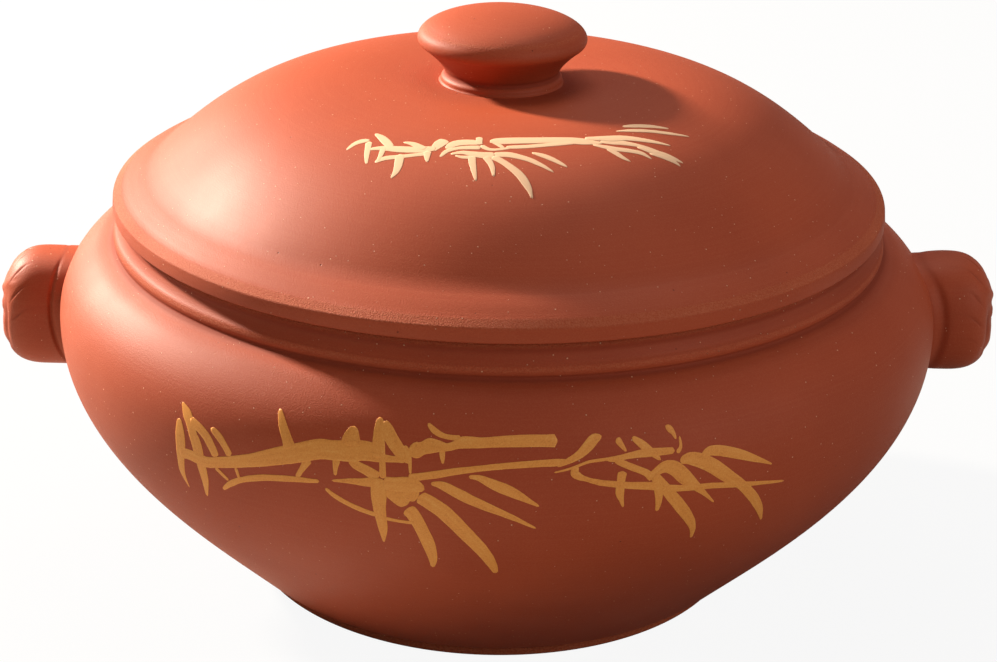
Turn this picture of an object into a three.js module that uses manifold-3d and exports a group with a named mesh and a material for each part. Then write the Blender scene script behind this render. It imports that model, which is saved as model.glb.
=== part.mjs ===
// A clay steam pot: a thrown bowl on a low foot, with a steam chimney in its floor,
// two beast-head lugs and a lid that lifts off. Millimetres, +Z up, the foot stands on z = 0,
// the lugs point along X.
import * as THREE from "three";
import { LoftGeometry } from "three/addons/geometries/LoftGeometry.js";
import { mergeVertices } from "three/addons/utils/BufferGeometryUtils.js";
import Module from "manifold-3d";

// Joint line left between pieces that touch or are luted together
const seam = 0.3;

// Foot ring
const footRadius = 71.5;
const footHeight = 4;
const footWidth = 10;
const footRounding = 1;

// Bowl: the underside overhangs the foot, the wall climbs as a cone and turns over at the belly
const baseOverhang = 3;
const bellyRadius = 125;
const bellyHeight = 77;
const coneSlope = THREE.MathUtils.degToRad(45);
const coneRun = 36.8;
const bellyRise = 27;
const shoulderRise = 11;
const bowlWall = 6.5;
const floorThickness = 7;
const floorFillet = 4;

// Neck: a groove above the shoulder, then a bead and a leaning collar up to the mouth
const neckHeight = 99;
const grooveRadius = 108.4;
const grooveLip = 3;
const shoulderSlope = THREE.MathUtils.degToRad(32);
const shoulderRun = 9.4;
const beadRadius = 109.6;
const beadHeight = 2.6;
const collarLean = 2.6;
const collarHeight = 9.6;
const mouthRadius = 99.5;
const mouthRounding = 1;

// Steam chimney: a hollow spout that narrows upwards over the hole in the floor
const steamHoleRadius = 24;
const chimneyTopBore = 7;
const chimneyHeight = 84;
const chimneyWall = 6;
const chimneyWaist = 0.55;
const chimneyLip = 1.5;

// Lid: an upright edge, a bevel, a softly swelling flange and a flat-crowned dome
const lidRadius = 108.9;
const lidEdge = 3.6;
const lidEdgeRounding = 1.2;
const bevelWidth = 2.3;
const bevelRise = 1.9;
const flangeWidth = 9;
const flangeRise = 4.6;
const flangeSwell = 0.7;
const domeRise = 24;
const domeSpringOut = 18.2;
const domeSpringUp = 17;
const crownRadius = 20;
const crownPull = 41;
const crownSwell = 4.2;
const lidWall = 6.2;

// Locating ring under the lid, loose in the mouth
const ringPlay = 1.2;
const ringWall = 4.5;
const ringDepth = 9;

// Knob: a soft-topped disc on a short waisted stem that flares out as a cone
const knobBaseRadius = 17;
const knobBaseHeight = 1.2;
const knobWaistRadius = 15.9;
const knobWaistHeight = 2.6;
const knobFlareOut = 1.3;
const knobFlareUp = 3.1;
const knobRadius = 23.6;
const knobRounding = 1.4;
const knobConeTop = 9.8;
const knobEdgeHeight = 11.4;
const knobEdge = 0.8;
const knobFacetHeight = 13.8;
const knobCrownPull = 14;
const knobHeight = 19.8;

// Beast-head lugs, the left one set lower than the right
const lugReach = 18.6;
const lugHeight = 34;
const lugWidth = 30;
const lugDropRight = 0.3;
const lugDropLeft = 4.3;
const lugRoot = 14;
const lugSquareness = 2.35;
const lugShoulder = 4;
const lugEndRounding = 2.4;
const lugEndLean = 0.95;
const lugTurn = THREE.MathUtils.degToRad(82);
const neckCreaseAt = 1.5;
const neckCreaseWidth = 1.2;
const neckCreaseDepth = 0.03;

// Relief on a lug's outer face, placed in half widths and half heights of the lug, lifted or sunk in mm
const noseLift = 0.5;
const faceBlend = 0.5;
const faceRelief = [
  { name: "forehead line", side: 0, up: 0.66, wide: 0.4, tall: 0.06, slant: -0.35, lift: -0.7 },
  { name: "ear", side: 0.66, up: 0.66, wide: 0.14, tall: 0.13, slant: 0, lift: 0.4 },
  { name: "brow", side: 0.38, up: 0.44, wide: 0.25, tall: 0.1, slant: 0.45, lift: 0.5 },
  { name: "socket", side: 0.4, up: 0.12, wide: 0.27, tall: 0.2, slant: 0, lift: -1.2 },
  { name: "eye", side: 0.4, up: 0.13, wide: 0.14, tall: 0.11, slant: 0, lift: 1.4 },
  { name: "bridge", side: 0, up: 0.24, wide: 0.12, tall: 0.22, slant: 0, lift: 0.3 },
  { name: "nose", side: 0, up: -0.14, wide: 0.28, tall: 0.12, slant: -0.15, lift: noseLift },
  { name: "nostril", side: 0.16, up: -0.2, wide: 0.08, tall: 0.06, slant: 0, lift: -0.8 },
  { name: "muzzle", side: 0.3, up: -0.4, wide: 0.22, tall: 0.11, slant: 0, lift: 0.5 },
  { name: "mouth", side: 0.38, up: -0.57, wide: 0.28, tall: 0.07, slant: 0.2, lift: -1.3 },
  { name: "chin", side: 0, up: -0.78, wide: 0.3, tall: 0.1, slant: 0, lift: 0.4 },
  { name: "jowl line", side: 0.68, up: -0.12, wide: 0.09, tall: 0.34, slant: 0, lift: -0.8 },
];

// Facets
const potSides = 48;
const smallSides = 32;
const wallSteps = 7;
const domeSteps = 11;
const chimneySteps = 6;
const bendSteps = 3;
const lugRootSteps = 10;
const lugFaceSteps = 24;
const lugSlices = 28;

// Heights and radii that follow from the sizes above
const baseRadius = footRadius + baseOverhang;
const floorTop = footHeight + floorThickness;
const mouthHeight = neckHeight + collarHeight;
const collarTopRadius = beadRadius - collarLean;
const lidSeat = mouthHeight + seam;
const bevelRadius = lidRadius - bevelWidth;
const bevelHeight = lidSeat + lidEdge + bevelRise;
const creaseRadius = bevelRadius - flangeWidth;
const creaseHeight = bevelHeight + flangeRise;
const crownHeight = creaseHeight + domeRise;
const ringRadius = mouthRadius - ringPlay;
const ringBore = ringRadius - ringWall;

const wasm = await Module();
wasm.setup();

function point(radius, height) {
  return new THREE.Vector2(radius, height);
}

// A profile's points moved sideways, inwards for a profile that climbs the outside of a pot
function offset(points, distance) {
  return points.map((here, i) => {
    const before = points[Math.max(i - 1, 0)];
    const after = points[Math.min(i + 1, points.length - 1)];
    const along = after.clone().sub(before).normalize();
    return point(here.x - along.y * distance, here.y + along.x * distance);
  });
}

// Revolves a profile of radius and height about Z
function revolve(points, sides) {
  const geometry = new THREE.LatheGeometry(points, sides);
  geometry.rotateX(Math.PI / 2);
  return geometry;
}

function closedRing(points, sides) {
  return revolve([...points, points[0]], sides);
}

function toSolid(geometry) {
  const bare = new THREE.BufferGeometry();
  bare.setAttribute("position", geometry.getAttribute("position"));
  bare.setIndex(geometry.getIndex());
  const merged = mergeVertices(bare);
  return new wasm.Manifold(
    new wasm.Mesh({
      numProp: 3,
      vertProperties: merged.attributes.position.array,
      triVerts: new Uint32Array(merged.index.array),
    }),
  );
}

function toGeometry(solid) {
  const mesh = solid.getMesh();
  const geometry = new THREE.BufferGeometry();
  geometry.setAttribute("position", new THREE.BufferAttribute(mesh.vertProperties, mesh.numProp));
  geometry.setIndex(new THREE.BufferAttribute(mesh.triVerts, 1));
  geometry.computeVertexNormals();
  return geometry;
}

// The bowl's outer line from the edge of its underside to the end of the shoulder
function bellyLine() {
  const line = new THREE.Path();
  line.moveTo(baseRadius, footHeight);
  line.bezierCurveTo(
    baseRadius + coneRun * Math.cos(coneSlope),
    footHeight + coneRun * Math.sin(coneSlope),
    bellyRadius,
    bellyHeight - bellyRise,
    bellyRadius,
    bellyHeight,
  );
  line.bezierCurveTo(
    bellyRadius,
    bellyHeight + shoulderRise,
    grooveRadius + grooveLip + shoulderRun * Math.cos(shoulderSlope),
    neckHeight - shoulderRun * Math.sin(shoulderSlope),
    grooveRadius + grooveLip,
    neckHeight,
  );
  return line.getPoints(wallSteps);
}

// The groove, bead and collar, from the shoulder to the top of the mouth
function neckLine() {
  const line = new THREE.Path();
  line.moveTo(grooveRadius + grooveLip, neckHeight);
  line.quadraticCurveTo(grooveRadius, neckHeight, grooveRadius, neckHeight + beadHeight / 3);
  line.quadraticCurveTo(beadRadius, neckHeight + beadHeight / 3, beadRadius, neckHeight + beadHeight);
  line.lineTo(collarTopRadius, mouthHeight - mouthRounding);
  line.quadraticCurveTo(collarTopRadius, mouthHeight, collarTopRadius - mouthRounding, mouthHeight);
  return line.getPoints(bendSteps);
}

function potBowl() {
  const outside = bellyLine();
  const inside = offset(outside, bowlWall).filter((p) => p.y > floorTop + floorFillet / 2);
  const neckInside = inside[inside.length - 1];
  return closedRing(
    [
      point(steamHoleRadius, footHeight),
      ...outside,
      ...neckLine().slice(1),
      point(mouthRadius + mouthRounding, mouthHeight),
      point(mouthRadius, mouthHeight - mouthRounding),
      point(mouthRadius, (mouthHeight + neckInside.y) / 2),
      ...inside.reverse(),
      point(inside[inside.length - 1].x - floorFillet, floorTop),
      point(steamHoleRadius, floorTop),
    ],
    potSides,
  );
}

function footRing() {
  const inner = footRadius - footWidth;
  const top = footHeight - seam;
  return closedRing(
    [
      point(inner + footRounding, 0),
      point(footRadius - footRounding, 0),
      point(footRadius, footRounding),
      point(footRadius, top),
      point(inner, top),
      point(inner, footRounding),
    ],
    potSides,
  );
}

// The bore narrows along a slack curve, and the outside keeps one wall away from it
function steamChimney() {
  const foot = floorTop + seam;
  const top = foot + chimneyHeight;
  const bore = new THREE.QuadraticBezierCurve(
    point(steamHoleRadius, foot),
    point(THREE.MathUtils.lerp(steamHoleRadius, chimneyTopBore, chimneyWaist), foot + chimneyHeight / 3),
    point(chimneyTopBore, top),
  ).getPoints(chimneySteps);
  const outside = offset(bore, -chimneyWall);
  outside[0] = point(outside[0].x, foot);
  outside[chimneySteps] = point(chimneyTopBore + chimneyWall, top - chimneyLip);
  return closedRing(
    [...outside, point(chimneyTopBore + chimneyWall - chimneyLip, top), ...bore.reverse()],
    smallSides,
  );
}

// The flange's outer line from the top of the bevel to the crease
function flangeLine() {
  return new THREE.QuadraticBezierCurve(
    point(bevelRadius, bevelHeight),
    point((bevelRadius + creaseRadius) / 2, (bevelHeight + creaseHeight) / 2 + flangeSwell),
    point(creaseRadius, creaseHeight),
  ).getPoints(bendSteps);
}

// The dome's outer line from the flange crease to the crown that carries the knob
function domeLine() {
  return new THREE.CubicBezierCurve(
    point(creaseRadius, creaseHeight),
    point(creaseRadius - domeSpringOut, creaseHeight + domeSpringUp),
    point(crownRadius + crownPull, crownHeight + crownSwell),
    point(crownRadius, crownHeight),
  ).getPoints(domeSteps);
}

function lidDome() {
  const outside = domeLine();
  const inside = offset(outside, lidWall).filter((p) => p.x < ringBore - lidWall / 2);
  return revolve(
    [
      point(0, crownHeight - lidWall),
      ...inside.reverse(),
      point(ringBore, lidSeat + lidEdge),
      point(ringBore, lidSeat),
      point(lidRadius - lidEdgeRounding, lidSeat),
      point(lidRadius, lidSeat + lidEdgeRounding),
      point(lidRadius, lidSeat + lidEdge),
      ...flangeLine().slice(0, -1),
      ...outside,
      point(0, crownHeight),
    ],
    potSides,
  );
}

function lidLocatingRing() {
  const top = lidSeat - seam;
  const bottom = lidSeat - ringDepth;
  const taper = ringWall / 4;
  return closedRing(
    [
      point(ringBore + taper, bottom),
      point(ringRadius - taper, bottom),
      point(ringRadius, bottom + taper),
      point(ringRadius, top),
      point(ringBore, top),
      point(ringBore, bottom + taper),
    ],
    potSides,
  );
}

function lidKnob() {
  const foot = crownHeight + seam;
  const facetRadius = knobRadius - knobRounding;
  const line = new THREE.Path();
  line.moveTo(0, foot);
  line.lineTo(knobBaseRadius - knobBaseHeight / 2, foot);
  line.quadraticCurveTo(knobBaseRadius, foot, knobBaseRadius, foot + knobBaseHeight / 2);
  line.quadraticCurveTo(knobWaistRadius, foot + knobBaseHeight, knobWaistRadius, foot + knobWaistHeight);
  line.quadraticCurveTo(
    knobWaistRadius + knobFlareOut,
    foot + knobWaistHeight + knobFlareUp,
    facetRadius,
    foot + knobConeTop,
  );
  line.quadraticCurveTo(knobRadius, foot + knobEdgeHeight - knobEdge, knobRadius, foot + knobEdgeHeight);
  line.lineTo(knobRadius, foot + knobEdgeHeight + knobEdge);
  line.quadraticCurveTo(
    knobRadius,
    foot + knobFacetHeight - knobEdge / 2,
    facetRadius,
    foot + knobFacetHeight,
  );
  line.quadraticCurveTo(knobCrownPull, foot + knobHeight, 0, foot + knobHeight);
  return revolve(line.getPoints(bendSteps), smallSides);
}

// How far the beast's face stands out at a place on the lug's end, side and up from -1 to 1
function reliefAt(side, up) {
  return faceRelief.reduce((sum, part) => {
    const aside = Math.abs(side) - part.side;
    const across = aside / part.wide;
    const along = (up - part.up - part.slant * aside) / part.tall;
    return sum + part.lift * Math.exp(-across * across - along * along);
  }, 0);
}

// A place on a lug: out from the belly, sideways and up, its sides drawn in where the neck crease runs
function lugPoint(out, side, up) {
  const crease = neckCreaseDepth * Math.exp(-(((out - neckCreaseAt) / neckCreaseWidth) ** 2));
  return new THREE.Vector3(
    bellyRadius + out,
    ((1 - crease) * side * lugWidth) / 2,
    (up * lugHeight) / 2,
  );
}

// The blunt end of a lug: it turns over from the shoulder to a nearly flat face with its relief,
// more squarely at the chin than at the forehead
function lugFacePoint(side, up) {
  const middle = lugReach - noseLift - lugShoulder;
  const span = Math.abs(side) ** lugSquareness + Math.abs(up) ** lugSquareness;
  const rounding = lugEndRounding - lugEndLean * up;
  const fromEdge = Math.max(0, 1 - span ** (rounding / lugSquareness));
  const face = THREE.MathUtils.smoothstep(fromEdge, 0, faceBlend);
  return lugPoint(lugShoulder + middle * Math.cbrt(fromEdge) + face * reliefAt(side, up), side, up);
}

// One level slice of a lug: along one side, round the face and back along the other side
function lugSlice(up) {
  const half = (1 - Math.abs(up) ** lugSquareness) ** (1 / lugSquareness);
  const nearSide = [];
  const farSide = [];
  for (let i = 0; i <= lugRootSteps; i++) {
    const out = THREE.MathUtils.lerp(-lugRoot, lugShoulder, i / lugRootSteps);
    nearSide.push(lugPoint(out, -half, up));
    farSide.unshift(lugPoint(out, half, up));
  }
  const face = [];
  for (let i = 1; i < lugFaceSteps; i++) {
    face.push(lugFacePoint(-half * Math.cos((Math.PI * i) / lugFaceSteps), up));
  }
  return [...nearSide, ...face, ...farSide];
}

// A lug is lofted upwards through its level slices, closer together where it rounds over
function lugBlank() {
  const slices = Array.from({ length: lugSlices + 1 }, (_, i) =>
    lugSlice(Math.sin(THREE.MathUtils.lerp(-lugTurn, lugTurn, i / lugSlices))),
  );
  return new LoftGeometry(slices, { capStart: true, capEnd: true });
}

// The lug is set a little below the widest line and cut to the belly's curve, a seam's width away
function beastLug(drop) {
  const blank = lugBlank();
  blank.translate(0, 0, bellyHeight - drop);
  const bellyCutter = revolve(
    [point(0, footHeight), ...offset(bellyLine(), -seam), point(0, neckHeight)],
    potSides,
  );
  return toGeometry(toSolid(blank).subtract(toSolid(bellyCutter)));
}

const redClay = { color: "#a2492f", roughness: 0.55, metalness: 0 };
const rawClay = { color: "#93422b", roughness: 0.75, metalness: 0 };

function piece(name, geometry, clay) {
  const mesh = new THREE.Mesh(geometry, new THREE.MeshStandardMaterial(clay));
  mesh.name = name;
  return mesh;
}

const handleRight = piece("handle_right", beastLug(lugDropRight), redClay);
const handleLeft = piece("handle_left", beastLug(lugDropLeft), redClay);
handleLeft.rotation.z = Math.PI;

const pot = new THREE.Group();
pot.add(
  piece("pot_bowl", potBowl(), redClay),
  piece("foot_ring", footRing(), rawClay),
  piece("steam_chimney", steamChimney(), rawClay),
  handleLeft,
  handleRight,
);

const lid = new THREE.Group();
lid.add(
  piece("lid_dome", lidDome(), redClay),
  piece("lid_locating_ring", lidLocatingRing(), rawClay),
  piece("lid_knob", lidKnob(), redClay),
);

const steamPot = new THREE.Group();
steamPot.add(pot, lid);

export default steamPot;
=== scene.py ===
# Clay steam pot: the smooth thrown and moulded surfaces, their clay and the ochre bamboo on them.
# Sizes are in millimetres until buildMesh() puts them into a mesh. The front of the pot looks along -Y.
import math
from functools import partial
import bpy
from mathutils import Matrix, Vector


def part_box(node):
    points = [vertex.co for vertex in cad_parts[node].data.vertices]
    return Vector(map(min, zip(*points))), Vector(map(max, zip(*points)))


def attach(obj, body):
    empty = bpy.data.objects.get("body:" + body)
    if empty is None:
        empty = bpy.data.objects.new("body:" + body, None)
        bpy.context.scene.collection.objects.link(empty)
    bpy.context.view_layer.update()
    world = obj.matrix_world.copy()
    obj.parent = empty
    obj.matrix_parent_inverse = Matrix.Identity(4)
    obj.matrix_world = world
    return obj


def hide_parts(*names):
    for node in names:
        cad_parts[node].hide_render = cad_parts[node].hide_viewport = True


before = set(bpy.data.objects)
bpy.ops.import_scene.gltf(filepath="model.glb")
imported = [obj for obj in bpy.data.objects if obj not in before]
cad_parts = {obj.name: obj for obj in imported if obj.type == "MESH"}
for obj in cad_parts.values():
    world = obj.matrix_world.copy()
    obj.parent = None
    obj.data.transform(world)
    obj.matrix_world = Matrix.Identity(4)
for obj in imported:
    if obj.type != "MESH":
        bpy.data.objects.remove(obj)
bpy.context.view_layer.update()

from types import SimpleNamespace as Values

import bpy
import numpy as np
from mathutils import Matrix

mm = 0.001
facetSides = 48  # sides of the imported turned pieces
roundness = (1 + math.cos(math.pi / facetSides)) / 2  # a circle halfway between their corners and flats
chance = np.random.default_rng(11)  # for the tremble of the brush
print("frame loaded:", sorted(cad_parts))


def nodeBox(node):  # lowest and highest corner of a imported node, in millimetres
    return [np.array(corner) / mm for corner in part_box(node)]


bowlLow, bowlHigh = nodeBox("pot_bowl")
footLow, footHigh = nodeBox("foot_ring")
chimneyLow, chimneyHigh = nodeBox("steam_chimney")
lidLow, lidHigh = nodeBox("lid_dome")
ringLow, ringHigh = nodeBox("lid_locating_ring")
knobLow, knobHigh = nodeBox("lid_knob")
lugHigh = nodeBox("handle_right")[1]


# Colours and nodes

mixA, mixB, mixResult = 6, 7, 2  # a Mix node's colour sockets


def colour(hexText):  # an sRGB hex value as linear RGBA
    srgb = np.array([int(hexText[i:i + 2], 16) for i in (1, 3, 5)]) / 255
    linear = np.where(srgb <= 0.04045, srgb / 12.92, ((srgb + 0.055) / 1.055) ** 2.4)
    return (*linear.tolist(), 1.0)


# Adds a node with its settings. Its inputs, in order or by name in a dictionary, are set or linked. A node given as
# an input stands for its first output, a Mix node for its colour.
def addNode(tree, kind, *inputs, **settings):
    node = tree.nodes.new("ShaderNode" + kind)
    for name, value in settings.items():
        setattr(node, name, value)
    named = inputs[0] if inputs and isinstance(inputs[0], dict) else dict(enumerate(inputs))
    for socket, value in named.items():
        if isinstance(value, bpy.types.Node):
            value = value.outputs[mixResult if value.bl_idname == "ShaderNodeMix" else 0]
        if isinstance(value, bpy.types.NodeSocket):
            tree.links.new(value, node.inputs[socket])
        else:
            node.inputs[socket].default_value = value
    return node


def newTree(holder):  # empties the node tree of a material or a world and gives addNode for that tree
    holder.use_nodes = True
    holder.node_tree.nodes.clear()
    return partial(addNode, holder.node_tree)


def noise(add, place, size, detail, roughness=0.5):  # a noise with lumps of a size in millimetres
    return add("TexNoise", {"Vector": place, "Scale": 1 / (size * mm), "Detail": detail, "Roughness": roughness})


def marks(add, *keys):  # what the mesh stores at its points
    return [add("Attribute", attribute_name=key).outputs["Fac"] for key in keys]


firedIor = 1.5


# Ends a material: colours laid over one another, each by its share, on a rough skin with its relief
def firedSkin(add, look, layers, roughness, bump):
    tone = colour(look.base)
    for share, layer in layers:
        tone = add("Mix", {0: share, mixA: tone, mixB: colour(layer)}, data_type="RGBA")
    shader = add("BsdfPrincipled", {
        "Base Color": tone, "Roughness": roughness, "Normal": bump, "IOR": firedIor,
        "Specular IOR Level": look.specular})
    add("OutputMaterial", shader)


# damp is painted shade laid into the hollows; deep, dry and the grains are the clay's own tones
burnishedClay = Values(
    base="#AD4827", deep="#9C3C1E", dry="#C4704A", damp="#782712",
    paleGrain="#EBB591", darkGrain="#561C0E",
    mottleSize=55, mottleShare=0.5, grainCell=1.6, grainSize=0.23, pitCell=6.5, ringPitch=1.1,
    ringShare=0.07, pebbleSize=0.4, pebble=0.06, waveSize=9, wave=0.035, roughness=0.56,
    roughnessSpread=0.1, specular=0.28,
)
bareClay = Values(
    base="#A54627", deep="#933B1F", dry="#BC6C4A", damp="#702612",
    paleGrain="#D69E78", darkGrain="#561C0E",
    mottleSize=30, mottleShare=0.7, grainCell=1.7, grainSize=0.2, pitCell=5, ringPitch=0.9,
    ringShare=0.2, pebbleSize=0.6, pebble=0.09, waveSize=5, wave=0.05, roughness=0.7,
    roughnessSpread=0.14, specular=0.2,
)
# What both clays share: how far the rings sway, the most that a mark may show, the part of the cells that stay empty,
# and how high a mark stands beside the pebbles
claySkin = Values(
    swaySize=60, sway=2.5, gritShare=0.2, edgeShare=0.6, hollowShare=0.6,
    grainShare=0.75, grainEmpty=0.5, pitShare=0.7, pitEmpty=0.6, drying=0.2,
    grainRise=2.6, pitRise=-1.6, ringRise=0.15, sandRise=3.0,
)


# Red stoneware clay, thrown, scraped and burnished before firing: an even satin skin, slightly pebbly where grains
# lie under it, with pale mineral specks, a few pits and sandy dry edges, and with painted shade darkening its
# hollows.
def clayMaterial(name, look):
    material = bpy.data.materials.new(name)
    add = newTree(material)
    skin = claySkin
    place = add("TexCoord").outputs["Object"]
    climb, wear, hollow = marks(add, "climb", "wear", "hollow")

    mottle = noise(add, place, look.mottleSize, 3)
    mottleShare = add("MapRange", mottle, 0.35, 0.68, 0, look.mottleShare, interpolation_type="SMOOTHSTEP")

    # Turning rings: a one-way noise along the profile, pushed a little by a slow noise so that no ring is perfect
    sway = noise(add, place, skin.swaySize, 1)
    swayed = add("Math", sway, skin.sway * mm, climb, operation="MULTIPLY_ADD")
    rings = add("TexNoise", {
        "W": swayed, "Scale": 1 / (look.ringPitch * mm), "Detail": 3, "Roughness": 0.7}, noise_dimensions="1D")
    grit = noise(add, place, look.pebbleSize, 3, 0.6)
    grainy = add("MapRange", grit, 0.45, 0.75, 0, skin.gritShare)
    ringShare = add("MapRange", rings, 0.4, 0.75, 0, look.ringShare)
    fine = add("Math", ringShare, grainy, operation="ADD")

    # Sandy edges, broken up by the grit, and painted shade darkening the hollows
    edge = add("Math", wear, grit, operation="MULTIPLY")
    edgeShare = add("MapRange", edge, 0.3, 0.65, 0, skin.edgeShare)
    hollowShare = add("MapRange", hollow, 0, 1, 0, skin.hollowShare)

    # Mineral specks: some cells of a Voronoi pattern hold a pale grain, a few cells of a wider one a dark pit
    pale = add("TexVoronoi", {"Vector": place, "Scale": 1 / (look.grainCell * mm)})
    paleCell = add("SeparateColor", pale.outputs["Color"])
    paleReach = add("Math", paleCell, look.grainSize / look.grainCell, operation="MULTIPLY")
    paleSpot = add("Math", paleReach, pale, operation="SUBTRACT")
    paleShare = add("MapRange", paleSpot, 0, 0.03, 0, skin.grainShare)
    palePick = add("Math", paleCell.outputs[1], skin.grainEmpty, operation="GREATER_THAN")
    paleGrain = add("Math", paleShare, palePick, operation="MULTIPLY")
    dark = add("TexVoronoi", {"Vector": place, "Scale": 1 / (look.pitCell * mm)})
    darkCell = add("SeparateColor", dark.outputs["Color"])
    darkSpot = add("MapRange", dark, 0.02, 0.05, skin.pitShare, 0)
    darkPick = add("Math", darkCell.outputs[1], skin.pitEmpty, operation="GREATER_THAN")
    darkGrain = add("Math", darkSpot, darkPick, operation="MULTIPLY")

    # Roughness: burnished patches shine a little more, edges and hollows less
    spread = look.roughnessSpread / 2
    patch = add("MapRange", mottle, 0.3, 0.7, look.roughness - spread, look.roughness + spread)
    dryness = add("Math", wear, hollow, operation="ADD")
    roughness = add("Math", dryness, skin.drying, patch, operation="MULTIPLY_ADD", use_clamp=True)

    # Relief too fine for the mesh, in two sizes: slow waves under the burnish, then pebbles, grains, pits and rings
    wave = noise(add, place, look.waveSize, 2)
    waved = add("Bump", {"Height": wave, "Strength": 1.0, "Distance": look.wave * mm})
    relief = grit
    for mark, rise in ((paleGrain, skin.grainRise), (darkGrain, skin.pitRise), (rings, skin.ringRise)):
        relief = add("Math", mark, rise, relief, operation="MULTIPLY_ADD")
    sanding = add("Math", wear, skin.sandRise, 1, operation="MULTIPLY_ADD")
    sanded = add("Math", relief, sanding, operation="MULTIPLY")
    bump = add("Bump", {"Height": sanded, "Strength": 1.0, "Distance": look.pebble * mm, "Normal": waved})

    # The mottled body, then rings and grit, sandy edges, painted shade in the hollows, grains and pits
    layers = [(mottleShare, look.deep), (fine, look.dry), (edgeShare, look.dry), (hollowShare, look.damp),
              (paleGrain, look.paleGrain), (darkGrain, look.darkGrain)]
    firedSkin(add, look, layers, roughness, bump)
    return material


ochreSlip = Values(
    base="#EC9B48", thin="#D47C35", thick="#F4B563", pale="#EAC9AA",
    streakLength=9, streakWidth=0.9, streakShare=0.5, gritSize=0.4, toneShare=0.7,
    smoothest=0.49, roughest=0.63, bump=0.02, specular=0.3,
)


# Ochre slip, brushed on thinly before firing: matte and flat, a little streaked along the stroke and grainy
def slipMaterial(name, look):
    material = bpy.data.materials.new(name)
    add = newTree(material)
    place = add("TexCoord").outputs["Object"]
    along, across, stroke, fade = marks(add, "along", "across", "stroke", "fade")
    run = add("Math", along, 1 / (look.streakLength * mm), operation="MULTIPLY")
    hairs = add("Math", across, 1 / (look.streakWidth * mm), operation="MULTIPLY")
    bristles = add("CombineXYZ", run, hairs, stroke)
    streaks = add("TexNoise", {"Vector": bristles, "Scale": 1.0, "Detail": 3, "Roughness": 0.55})
    grit = noise(add, place, look.gritSize, 3, 0.7)
    cover = add("Math", streaks, look.streakShare, grit, operation="MULTIPLY_ADD")
    thinShare = add("MapRange", cover, 0.72, 0.5, 0, look.toneShare)
    thickShare = add("MapRange", cover, 0.78, 1, 0, look.toneShare)
    roughness = add("MapRange", grit, 0.3, 0.7, look.smoothest, look.roughest)
    bump = add("Bump", {"Height": cover, "Strength": 1.0, "Distance": look.bump * mm})
    layers = [(thinShare, look.thin), (thickShare, look.thick), (fade, look.pale)]
    firedSkin(add, look, layers, roughness, bump)
    return material


finishes = {
    "burnished_red_clay": clayMaterial("burnished_red_stoneware", burnishedClay),
    "bare_red_clay": clayMaterial("bare_turned_red_stoneware", bareClay),
    "ochre_slip": slipMaterial("brushed_ochre_slip", ochreSlip),
}
print("materials made:", ", ".join(material.name for material in finishes.values()))


# Meshes

def putInScene(name, data):  # an object at the origin, unturned
    holder = bpy.data.objects.new(name, data)
    bpy.context.scene.collection.objects.link(holder)
    return holder


# A closed mesh that faces out; a quad with a double corner becomes a triangle
def buildMesh(name, points, quads, **attributes):
    corners = points[quads]
    fan = np.cross(corners[:, 1], corners[:, 2]) + np.cross(corners[:, 2], corners[:, 3])
    if (corners[:, 0] * fan).sum() < 0:  # the signed volume tells an inside-out shape
        quads = quads[:, ::-1]
    double = quads == np.roll(quads, -1, axis=1)
    loops = quads[~double]
    sizes = 4 - double.sum(axis=1)
    mesh = bpy.data.meshes.new(name)
    mesh.vertices.add(len(points))
    mesh.vertices.foreach_set("co", (points * mm).astype(np.float32).ravel())
    mesh.loops.add(len(loops))
    mesh.loops.foreach_set("vertex_index", loops.astype(np.int32))
    mesh.polygons.add(len(sizes))
    mesh.polygons.foreach_set("loop_start", (np.cumsum(sizes) - sizes).astype(np.int32))
    mesh.polygons.foreach_set("use_smooth", np.ones(len(sizes), bool))
    mesh.update(calc_edges=True)
    for key, values in attributes.items():
        mesh.attributes.new(key, "FLOAT", "POINT").data.foreach_set("value", values.astype(np.float32).ravel())
    mesh.validate()
    return putInScene(name, mesh)


def dress(piece, body, slot, *nodes):  # gives a piece its finish, the body it rides on and the nodes it stands for
    piece.data.materials.append(finishes[slot])
    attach(piece, body)
    if nodes:
        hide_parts(*nodes)
    print("piece made:", piece.name, len(piece.data.polygons), "faces")
    return piece


def ringQuads(rows, columns, closedRows):  # a grid's quads, joined round its columns and, if asked, its rows
    row = np.arange(rows if closedRows else rows - 1)[:, None]
    column = np.arange(columns)[None, :]
    below, after = (row + 1) % rows, (column + 1) % columns
    corners = [row * columns + column, row * columns + after, below * columns + after, below * columns + column]
    return np.stack(corners, axis=-1).reshape(-1, 4)


# Profiles of the turned pieces, as rows of radius and height

hair = 0.02  # points closer than this are one point
axisReach = 0.01  # a point nearer the axis than this lies on it
walkStep = 0.2  # spacing of the places where a profile's turns are measured


def unit(values):  # cut to the range from 0 to 1
    return np.clip(values, 0, 1)


def bell(values):  # a bell curve round 0
    return np.exp(-values ** 2)


def curve(*controls, steps=24):  # a Bezier curve of three or four control points
    t = np.linspace(0, 1, steps + 1)[:, None]
    points = [np.array(point, float) for point in controls]
    while len(points) > 1:
        points = [a + (b - a) * t for a, b in zip(points, points[1:])]
    return points[0]


def soften(corners, steps=7):  # a line through (radius, height, rounding), each corner cut back and curved
    here = np.array(corners, float)
    line = [here[:1, :2]]
    for before, corner, after in zip(here, here[1:], here[2:]):
        ways = (before - corner)[:2], (after - corner)[:2]
        start, end = [corner[:2] + way * min(0.5, corner[2] / np.linalg.norm(way)) for way in ways]
        line.append(curve(start, corner[:2], end, steps=steps))
    return np.vstack([*line, here[-1:, :2]])


def directions(line):  # the unit step along a line at each point
    step = np.gradient(line, axis=0)
    return step / np.linalg.norm(step, axis=1, keepdims=True)


def lengths(line):  # the length along a line up to each point
    return np.concatenate([[0], np.cumsum(np.linalg.norm(np.diff(line, axis=0), axis=1))])


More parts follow.
